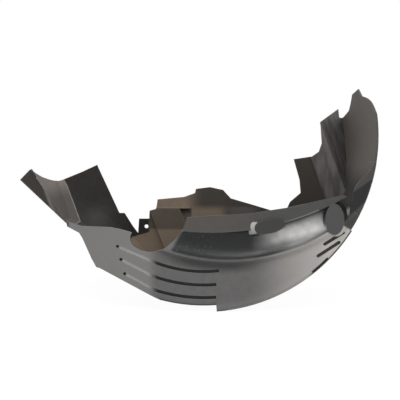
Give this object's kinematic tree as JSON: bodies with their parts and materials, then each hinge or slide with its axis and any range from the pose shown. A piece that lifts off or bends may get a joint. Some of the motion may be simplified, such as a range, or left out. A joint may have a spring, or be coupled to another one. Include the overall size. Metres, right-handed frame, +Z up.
{
  "type": "wheel arch liner",
  "caption": "Moulded plastic liner for a car's wheel arch, a curved channel with ribbed near wall, pressed cove and pods, stepped far wall and a drilled fixing tab.",
  "frame": {"origin": "Under the middle of the bounding box, at the height of the arch's crown, which lies lowest.", "axes": "X runs along the car, Y runs along the wheel's axis from the near wall to the far wall, and Z points up from the crown to the open side of the arch."},
  "size_m": [0.8581, 0.3392, 0.5492],
  "materials": {
    "liner": "satin"
  },
  "bodies": {
    "root": {"wheel_arch_liner": "liner"}
  },
  "joints": []
}
